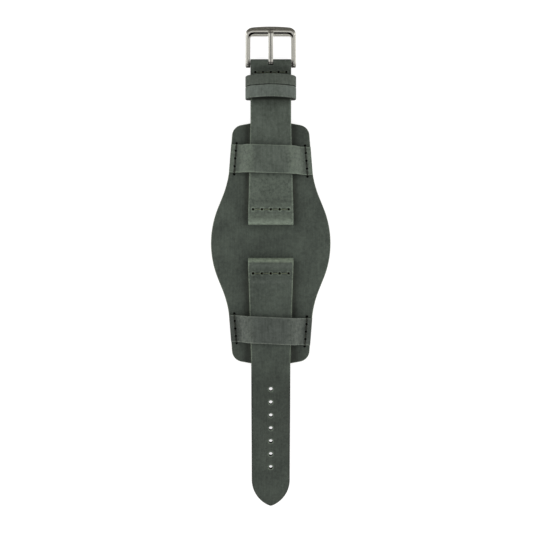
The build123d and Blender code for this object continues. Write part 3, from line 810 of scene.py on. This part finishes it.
def tail_strip(first, middle, thickness, top_round, under_round, end_round):
    """Grid of one layer of the tail: level, an S-curve down to the table, and a rounded end."""
    nose = nose_middle + nose_radius
    points = first + [(level_middle, middle, thickness), (tail_level_end, middle, thickness)]
    points += ramp((droop[0], middle, thickness), (droop[1], middle - strap_bottom, thickness),
                   np.linspace(0, 1, 9))
    points += [(nose - tip_level, middle - strap_bottom, thickness),
               (nose, middle - strap_bottom, thickness)]
    path = smooth_path(points, crowded_end)
    grid, wear = strip(path, tail_half(path[:, 0]), top_round, under_round)
    past = np.clip((grid[..., 1] - nose + end_round) / end_round, 0, 1)
    past = np.where(path[:, 1:2] < middle - strap_bottom / 2, past, 0)
    bottom = middle - strap_bottom - thickness / 2
    share = 1 - end_round / thickness * (1 - np.sqrt(1 - past**2))
    grid[..., 2] = np.where(past > 0, bottom + (grid[..., 2] - bottom) * share, grid[..., 2])
    return grid, wear


hole_places = tail_length - last_hole_to_tip - np.arange(adjusting_holes) * adjusting_pitch
punched = np.stack([np.zeros(adjusting_holes), -tail_start - hole_places], 1)
lug_holes_tail = across_holes(-tail_start - lug_row, lug_half_width)
grid, wear = tail_strip(lug_points, main_middle, strap_thickness, strap_edge_round, glue_round,
                        tip_round)
along = grid[:, 0, 1]
# The pale edges with their painted highlight fade past the pad and turn dark: burnish and painted
# shade
wear = np.where(wear > 0, wear * np.interp(grid[..., 1], *edge_turn), wear)
wear = stretched(wear, np.interp(along, *fold_pale_and_highlight) - np.interp(along, *tail_dark))
grid[..., 1] = -tail_start - grid[..., 1]
grid, wear = pressed(grid, wear, punched, adjusting_radius)
grid, wear = pressed(grid, wear, lug_holes_tail, awl_radius, True, ring_pale_and_highlight=0.5)
upper = skin("tail_strap_waxed_leather", grid, wear, tail_leather)
punches = drills(punched, adjusting_radius, -clear, adjusting_sides)
cut(upper, drills(lug_holes_tail, awl_radius, 0), dark_hole)
cut(upper, punches, dark_hole)
stand_for(upper, "tail_strap_upper", "tail_strap_lug_fold")
lining_start = 2 * lug_radius + glue_line
grid, wear = tail_strip([(lining_start, lining_middle, lining_thickness)], lining_middle,
                        lining_thickness, glue_round, lining_round, lining_tip)
grid[..., 1] = -tail_start - grid[..., 1]
under = skin("tail_strap_lining_leather", grid, wear * 0, lining)
cut(under, punches, dark_hole)
stand_for(under, "tail_strap_lining")

# Bridges
# A leather band is sewn down across each end of the pad, trimmed flush with the pad's edge and
# stretched over the strap, which slides through the tunnel under it.
bridge_thickness = 1.2 * MM
bridge_gap = 0.2 * MM
bridge_side_gap = 0.7 * MM
bridge_ramp = 4.2 * MM
row_inset = 2.6 * MM
row_overhang = 0.7 * MM
row_shade = 1.2
awl_depth = 1.1 * MM
bridge_round = 0.3 * MM
bridge_foot = 1 * MM
bridge_crown = 0.05 * MM
bridge_points = 72
slope_middle = 12.2 * MM
slope_reach = (2.2 * MM, 6.0 * MM)
neck, flare_end = pad_ring[1], pad_ring[2]
# Bridge leather is stretched over the strap: streaked, and paler on its slopes, with a painted
# highlight there. Place along the pad, width, lean in degrees, paleness with painted highlight of
# the slopes, wear of the ends, and finish
bridges = {
    "buckle_side": (40.8 * MM, 13.8 * MM, 1.9, 0.55, 0.45, leather(
        "upper_bridge_waxed_leather", "464d45", "60685f", "7c8778", 0.3)),
    "tail_side": (-42.4 * MM, 13.2 * MM, 2.6, 0.45, 0.1, leather(
        "bridge_waxed_leather", "3e433e", "565c56", "7a8177", 0.3)),
}


def pad_edge(reach):
    """Half width of the pad's straight flare at a distance from its middle."""
    share = (abs(reach) - neck[1]) / (flare_end[1] - neck[1])
    return neck[0] + share * (flare_end[0] - neck[0])


rows = {}
for name, (reach, width, skew, slope_pale_and_highlight, end_wear, tone) in bridges.items():
    lean = tan(radians(skew))
    shoulder = buckle_half(abs(reach) - tail_start) + bridge_side_gap
    foot = shoulder + bridge_ramp
    edge = pad_edge(reach)
    level = pad_top + bridge_thickness / 2
    top = strap_top + bridge_gap + bridge_thickness / 2
    climb = ramp((-foot, level, bridge_thickness), (-shoulder, top, bridge_thickness))
    half_way = [(x, level, bridge_thickness) for x in (-edge, bridge_foot - edge)] + climb
    half_way += [(-shoulder / 2, top + bridge_crown, bridge_thickness)]
    path = smooth_path(half_way + [(-x, z, t) for x, z, t in reversed(half_way)])
    grid, wear = strip(path, width / 2, bridge_round, glue_round, bridge_points)
    out = np.abs(path[:, 0])
    # Pull-up paleness with a painted highlight on the slopes
    pale = np.interp(np.abs(out - slope_middle), slope_reach, (slope_pale_and_highlight, 0))
    pale = np.maximum(pale, np.where(out > edge - row_inset, end_wear, 0))
    wear = stretched(wear, pale)
    x, y, z = grid[..., 1], grid[..., 0], grid[..., 2]
    y = reach - y - x * lean
    x = x * pad_edge(y) / edge
    grid = np.dstack([x, y, z])
    holes = []
    for hand, side in (("left", -1), ("right", 1)):
        middle = reach - side * (edge - row_inset) * lean
        half = width / 2 + row_overhang
        ends = np.linspace(middle - half, middle + half, stitch_holes)
        row = np.stack([side * (pad_edge(ends) - row_inset), ends], 1)
        rows[f"{name}_{hand}_stitching"] = row
        grid, wear = pressed(grid, wear, row, awl_radius, True, bridge_points, 0.0, row_shade)
        holes += drills(row, awl_radius, pad_top - awl_depth)
    band = skin(f"{name}_bridge_leather", grid, wear, tone)
    cut(band, holes, dark_hole)
    cut(pad_piece, holes, dark_hole)
    stand_for(band, f"{name}_bridge")

# Keepers
# Two loops of the same leather hold the tail down: one is fixed next to the buckle, and the
# other slides. Their ends meet under the strap, and empty they arch over it.
keeper_thickness = 1.3 * MM
keeper_roof_slope = radians(18.7)
keeper_crown_radius = 17.0 * MM
keeper_top_round = 4.6 * MM
keeper_bottom_round = 1.8 * MM
keeper_edge_round = (0.34 * MM, 0.1 * MM)
keeper_points = 24
keeper_spacing = 0.35 * MM
keeper_pale_and_highlight = 0.25
# Keepers are bent all round: streaked, and the free one has faded lighter with use
keeper_tones = {
    "fixed_keeper": leather("keeper_waxed_leather", "3f453e", "555c53", "76816f", 0.3),
    "free_keeper": leather("free_keeper_waxed_leather", "4e554d", "69716a", "86907e", 0.3),
}
for name, tone in keeper_tones.items():
    low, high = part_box(name)
    half = high.x
    ridge = high.z + keeper_crown_radius * (1 / cos(keeper_roof_slope) - 1)
    shoulder = ridge - half * tan(keeper_roof_slope)
    corners = [(half, low.z, keeper_bottom_round), (half, shoulder, keeper_top_round),
               (0, ridge, keeper_crown_radius), (-half, shoulder, keeper_top_round),
               (-half, low.z, keeper_bottom_round)]
    ring, normals = rounded_ring(corners, keeper_spacing)
    middle = ring - normals * keeper_thickness / 2
    grid, rub_and_highlight = strip(np.array([(0, 0, keeper_thickness), (1, 0, keeper_thickness)]),
                      (high.y - low.y) / 2, *keeper_edge_round, keeper_points)
    across, _, up = grid[0].T
    x = middle[:, :1] + normals[:, :1] * up
    z = middle[:, 1:] + normals[:, 1:] * up
    y = np.broadcast_to((low.y + high.y) / 2 + across, x.shape)
    # Pale rounded edges, pull-up wear with a painted highlight, capped
    wear = np.broadcast_to(np.minimum(rub_and_highlight[0], keeper_pale_and_highlight), x.shape)
    stand_for(skin(f"{name}_leather", np.dstack([x, y, z]), wear, tone, along=True), name)

# Stitching
# Rows of four stitches in waxed three-ply thread, saddle sewn through five awl holes each. The
# legs of neighbouring stitches share a hole, and every stitch is pulled a little into the leather.
thread_radius = 0.22 * MM
thread_bite = 0.26 * MM
leg_gap = 1.2 * MM
leg_depth = 0.9 * MM
ply_twist = 1.3 * MM
ply_swell = 0.1
stitch_square = 5.0
stitch_steps = 40
thread_sides = 18
# Waxed thread has a dull shine: olive in the straps, and darker in the bridges
thread = leather("waxed_olive_thread", "474d3c", "636a55", "62674c", 0.2, 0.5)
dark_thread = leather("waxed_dark_thread", "1d2019", "33372b", "33372b", 0.2, 0.5)


def sewn_row(name, holes, top, low, material):
    """Stitches between holes: superellipse arches |2 s / length|^5 + |height|^5 = 1, as tubes.

    The round section swells by a tenth three times round, turned along the thread as plies are.
    The legs get painted shade where they go down into the holes.
    """
    phi = np.linspace(0, pi, stitch_steps)
    power = 2 / stitch_square
    out = -np.sign(np.cos(phi)) * np.abs(np.cos(phi)) ** power
    rise = np.sin(phi) ** power
    turn = np.linspace(0, 2 * pi, thread_sides, endpoint=False)
    tubes, shades = [], []
    for start, end in zip(holes, holes[1:]):
        length = np.linalg.norm(end - start)
        row = (end - start) / length
        s = out * (length - leg_gap) / 2
        z = low + rise * (top - low)
        tangent = np.stack([np.gradient(s), np.gradient(z)], 1)
        run = np.concatenate([[0], np.cumsum(np.hypot(np.diff(s), np.diff(z)))])
        tangent /= np.linalg.norm(tangent, axis=1, keepdims=True)
        plies = np.cos(3 * turn - 2 * pi * run[:, None] / ply_twist)
        radius = thread_radius * (1 + ply_swell * plies)
        s = s[:, None] - tangent[:, 1:] * radius * np.cos(turn)
        z = z[:, None] + tangent[:, :1] * radius * np.cos(turn)
        side = radius * np.sin(turn)
        middle = (start + end) / 2
        tubes.append(np.dstack([middle[0] + row[0] * s - row[1] * side,
                                middle[1] + row[1] * s + row[0] * side, z]))
        shades.append(-np.clip((top - thread_radius - z) / thread_radius, 0, 1))
    stand_for(skin(f"{name}_thread", np.stack(tubes), np.stack(shades), material), name)


bridge_sewn = pad_top + bridge_thickness + thread_radius - thread_bite
for name, row in rows.items():
    sewn_row(name, row, bridge_sewn, pad_top - leg_depth, dark_thread)
flap_sewn = raised_middle + strap_thickness / 2 + thread_radius - thread_bite
for name, row in (("buckle_strap_lug", lug_holes), ("buckle_strap_end", end_holes),
                  ("tail_strap_lug", lug_holes_tail)):
    sewn_row(f"{name}_stitching", row, flap_sewn, flap_sewn - leg_depth, thread)

# Buckle
# A stamped steel frame, polished: two bars with ears for the spring bar, and an end bar whose top
# slopes down outwards from a ridge. A sunk ledge runs round inside, with a notch for the tongue.
frame_reach = 19.2 * MM
frame_crown = 1.1 * MM
frame_half_height = 1.35 * MM
heel_reach = frame_reach - 0.5 * MM
slope_start = 16.9 * MM
slope_fall = 0.84 / 2.3
ear_reach = 1.8 * MM
ear_round = (0.75 * MM, 1.3 * MM)
ear_flat = 0.05 * MM
ear_tip_radius = 0.9 * MM
ear_middle = 11.15 * MM
ear_half_width = 1.15 * MM
ear_hole = 0.45 * MM
ear_hole_end = 11.1 * MM
notch_start = 12 * MM
notch_end = 17.5 * MM
notch_floor = 0.55 * MM
notch_half = 1.325 * MM
past_frame = (13 * MM, 3 * MM)
frame_round = 0.07 * MM
frame_sharp = radians(14)
frame_tilt = asin(bar_height / abs(complex(heel_reach, frame_half_height))) - atan2(
    frame_half_height, heel_reach)
# Residue of polishing and wear, and painted shade, by the distance from the bar: residue with
# painted shade along the ledge's wall, and painted shade on the inner faces near the bar, on
# the ears' tips, and on the outer corners
residue_and_shade_colour = "1a1814"
wall_residue_and_shade = ((0.6 * MM, 1.6 * MM, 12.2 * MM, 13.4 * MM), (-0.9, -0.35, -0.35, -1.0))
inner_painted_shade = ((0.6 * MM, 1.6 * MM), (-0.9, 0))
tip_painted_shade = ((-1.5 * MM, -0.3 * MM), (-0.7, 0))
corner_middle = 15.9 * MM
corner_width = 1.0 * MM
corner_inside = 11.2 * MM
corner_painted_shade = 0.55
# Half width, reach at the end, corner radius, height and how far its end follows the outer crown
frame_rails = np.array([
    (10.0, 15.0, 0.8, -1.35, 0),
    (10.0, 15.0, 0.8, 0.8, 0),
    (10.72, 15.2, 3.0, 0.8, 0),
    (10.74, 15.24, 2.95, 0.81, 0),
    (10.87, 15.8, 2.1, 0.98, 0),
    (10.88, 15.8, 2.1, 1.3, 0),
    (10.92, 15.83, 2.1, 1.35, 0),
    (11.7, 16.6, 2.7, 1.35, 0.1),
    (12.3, 19.2, 3.4, 0.85, 1),
    (12.3, 19.05, 3.3, -0.75, 1),
    (11.7, 18.7, 2.8, -1.35, 1),
]) * (MM, MM, MM, MM, 1)
inner_rails = slice(0, 3)
wall_rails = slice(3, 6)
polish_size = MM / 0.9
polish_depth = 0.0004 * MM


def metal(name, colour, roughness):
    """Steel: a metal with fine marks of polishing that blur its reflections a little.

    Where the attribute wear is under 0 it is dark with what polishing and dust left there, and
    with painted shade.
    """
    material = bpy.data.materials.new(name)
    tree = emptied(material)
    place = add_node(tree, "ShaderNodeTexCoord").outputs["Object"]
    marks = add_node(
        tree, "ShaderNodeTexNoise",
        [("Vector", place), ("Scale", 1 / polish_size), ("Detail", 2.0)],
    ).outputs[0]
    bump = add_node(
        tree, "ShaderNodeBump", [("Distance", polish_depth), ("Height", marks)]
    ).outputs["Normal"]
    left = add_node(tree, "ShaderNodeAttribute", attribute_name="wear").outputs["Fac"]
    tone = layered(tree, linear(colour), [(left, 0.0, -1.0, residue_and_shade_colour)])
    shader = add_node(tree, "ShaderNodeBsdfPrincipled", [
        ("Base Color", tone), ("Metallic", 1.0), ("Roughness", roughness), ("Normal", bump)])
    add_node(tree, "ShaderNodeOutputMaterial", [("Surface", shader.outputs[0])])
    return material


def rail(half, reach, radius, height, follow, sides=20, tips=6, turns=10, across=30):
    """Points of a U-shaped line: up one bar, round a corner, over the end bar and down again.

    The height stays under the slope height = 1.35 - (y - slope start) * fall, and the end bar's
    line is lower at its ends by crown * (x / half)^2. The ears' corners are rounded: over the
    last radius r they narrow by r * (1 - sqrt(1 - t^2)) on each side.
    """
    turn = np.linspace(0, pi / 2, turns + 1)[1:-1]
    up = np.concatenate([
        ear_tip_radius * (1 - np.cos(np.linspace(0, pi / 2, tips, endpoint=False))) - ear_reach,
        np.linspace(ear_tip_radius - ear_reach, reach - radius, sides - tips)])
    over = np.linspace(half - radius, radius - half, across)
    x = np.concatenate([np.full(sides, half), half - radius + radius * np.cos(turn), over])
    y = np.concatenate([up, reach - radius + radius * np.sin(turn), np.full(across, reach)])
    x = np.concatenate([x, -x[:sides + len(turn)][::-1]])
    y = np.concatenate([y, y[:sides + len(turn)][::-1]])
    past = np.clip((y - reach + 2 * radius) / (2 * radius), 0, 1)
    y = y - follow * past * frame_crown * (x / half) ** 2
    tip = np.clip((ear_tip_radius - ear_reach - y) / ear_tip_radius, 0, 1)
    narrow = 1 - ear_tip_radius / ear_half_width * (1 - np.sqrt(1 - tip**2))
    x = np.sign(x) * (ear_middle + (np.abs(x) - ear_middle) * narrow)
    slope = frame_half_height - (y - slope_start) * slope_fall
    return np.stack([x, y, np.minimum(height, np.maximum(slope, -frame_half_height))], 1)


def points_of(mesh):
    """Places x, y and z of a mesh's vertices."""
    points = np.empty(len(mesh.vertices) * 3)
    mesh.vertices.foreach_get("co", points)
    return points.reshape(-1, 3).T


def tilted(piece):
    """Turns the points of a piece made in the frame's own plane into place about the bar."""
    x, y, z = points_of(piece.data)
    c, s = np.cos(frame_tilt), np.sin(frame_tilt)
    placed = np.stack([x, bar_y + y * c + z * s, bar_height - y * s + z * c], 1)
    piece.data.vertices.foreach_set("co", placed.ravel())
    piece.data.update()
    return piece


# Polished stainless steel: clear but slightly blurred reflections in a warm grey
steel = metal("polished_stainless_steel", "d6d4cb", 0.2)
grid = np.stack([rail(*line) for line in frame_rails], 1)
wear = np.zeros(grid.shape[:2])
# Residue with painted shade along the ledge's wall, painted shade on the inner faces by the bar
wear[:, wall_rails] = np.interp(grid[:, wall_rails, 1], *wall_residue_and_shade)
wear[:, inner_rails] = np.interp(grid[:, inner_rails, 1], *inner_painted_shade)
frame_piece = skin("buckle_frame_steel", grid, wear, steel)
out, up = past_frame
upper_ear = [(ear_round[0] * (1 - cos(a)) - ear_reach, ear_round[1] * sin(a) + ear_flat)
             for a in np.linspace(0, pi / 2, 13)]
upper_ear += [(ear_round[0] - ear_reach, up), (-up, up), (-up, ear_flat)]
lower_ear = [(y, -z) for y, z in upper_ear]
notch = [(notch_start, notch_floor), (notch_end, notch_floor), (notch_end, up), (notch_start, up)]
cut(frame_piece, [
    prism(upper_ear, -out, out),
    prism(lower_ear, -out, out),
    prism(circle(ear_hole, 24), -ear_hole_end, ear_hole_end),
    prism(notch, -notch_half, notch_half),
], steel)
mesh = frame_piece.data
wear = np.empty(len(mesh.vertices))
layer = mesh.attributes["wear"].data
layer.foreach_get("value", wear)
x, y, z = points_of(mesh)
# Painted shade on the outer corners and on the ears' tips
corner = -corner_painted_shade * bell(y - corner_middle, corner_width) * (np.abs(x) > corner_inside)
layer.foreach_set("value", np.minimum(np.minimum(wear, corner), np.interp(y, *tip_painted_shade)))
mesh.set_sharp_from_angle(angle=frame_sharp)
soft_edge = tilted(frame_piece).modifiers.new("soft_edge", "BEVEL")
soft_edge.width = frame_round
soft_edge.segments = 2
soft_edge.limit_method = "ANGLE"
soft_edge.angle_limit = 2 * frame_sharp
soft_edge.harden_normals = True
stand_for(frame_piece, "buckle_frame")

# Tongue
# A half-round steel wire with a groove along its back, flattened and rolled round the spring bar
# into an eye. The groove and the eye get painted shade.
eye_middle = 0.95 * MM
eye_thickness = 0.3 * MM
eye_turn = (12, -236, 12)
tongue_half_width = 1.175 * MM
tongue_round = 0.08 * MM
tongue_points = 40
groove_half = 0.3 * MM
tongue_groove = 0.12 * MM
# Distance from the bar, height of the underside and thickness, in mm
tongue_shape = [
    (-0.15, 0.8, 0.48), (0.4, 0.8, 0.56), (1.3, 0.78, 0.6), (3.2, 0.68, 0.75), (6.0, 0.7, 0.75),
    (9.0, 0.72, 0.75), (12.0, 0.7, 0.75), (14.2, 0.68, 0.75), (15.1, 0.66, 0.73),
    (16.0, 0.6, 0.54), (17.0, 0.56, 0.26),
]
tongue_crown = ((-0.8 * MM, 0.2 * MM, 2 * MM, 15.1 * MM, 17.0 * MM),
                (0.08 * MM, 0.22 * MM, 0.14 * MM, 0.14 * MM, 0.05 * MM))
groove_share = ((7 * MM, 9 * MM), (0.75, 1))
eye_back = -0.3 * MM
eye_top = 0.3 * MM
eye_painted_shade = 0.9
points = loop(0, 0, eye_middle, eye_thickness, *eye_turn)
points += [(y * MM, (z + thick / 2) * MM, thick * MM) for y, z, thick in tongue_shape]
path = smooth_path(points)
rise = np.where(path[:, 1] > eye_top, np.interp(path[:, 0], *tongue_crown), tongue_crown[1][0])
grid, wear = strip(path, tongue_half_width, tongue_round, tongue_round, tongue_points,
                   crown=rise[:, None])
groove = np.exp(-((grid[..., 0] / groove_half) ** 4)) * (np.arange(grid.shape[1]) < tongue_points)
groove *= (np.interp(path[:, 0], *groove_share) * (path[:, 1] > 0))[:, None]
grid[..., 2] -= tongue_groove * groove
# Painted shade on the eye inside the fold and along the groove
eye = ((path[:, 0] < eye_back) | (path[:, 1] < eye_top))[:, None]
wear = -np.where(eye, eye_painted_shade, groove)
stand_for(tilted(skin("buckle_tongue_steel", grid, wear, steel)), "buckle_tongue")

# Spring bar
# The tube, its two plungers and the coil inside are turned and wound steel, shown as they are.
# Drawn spring wire: the same steel, greyer and less polished
bright_wire = metal("bright_spring_wire", "b0afa9", 0.3)
for node in ("spring_bar_tube", "spring_bar_plunger_left", "spring_bar_plunger_right",
             "spring_bar_spring"):
    bar_piece = bpy.data.objects[node]
    bar_piece.data.materials.clear()
    bar_piece.data.materials.append(bright_wire if node.endswith("spring") else steel)
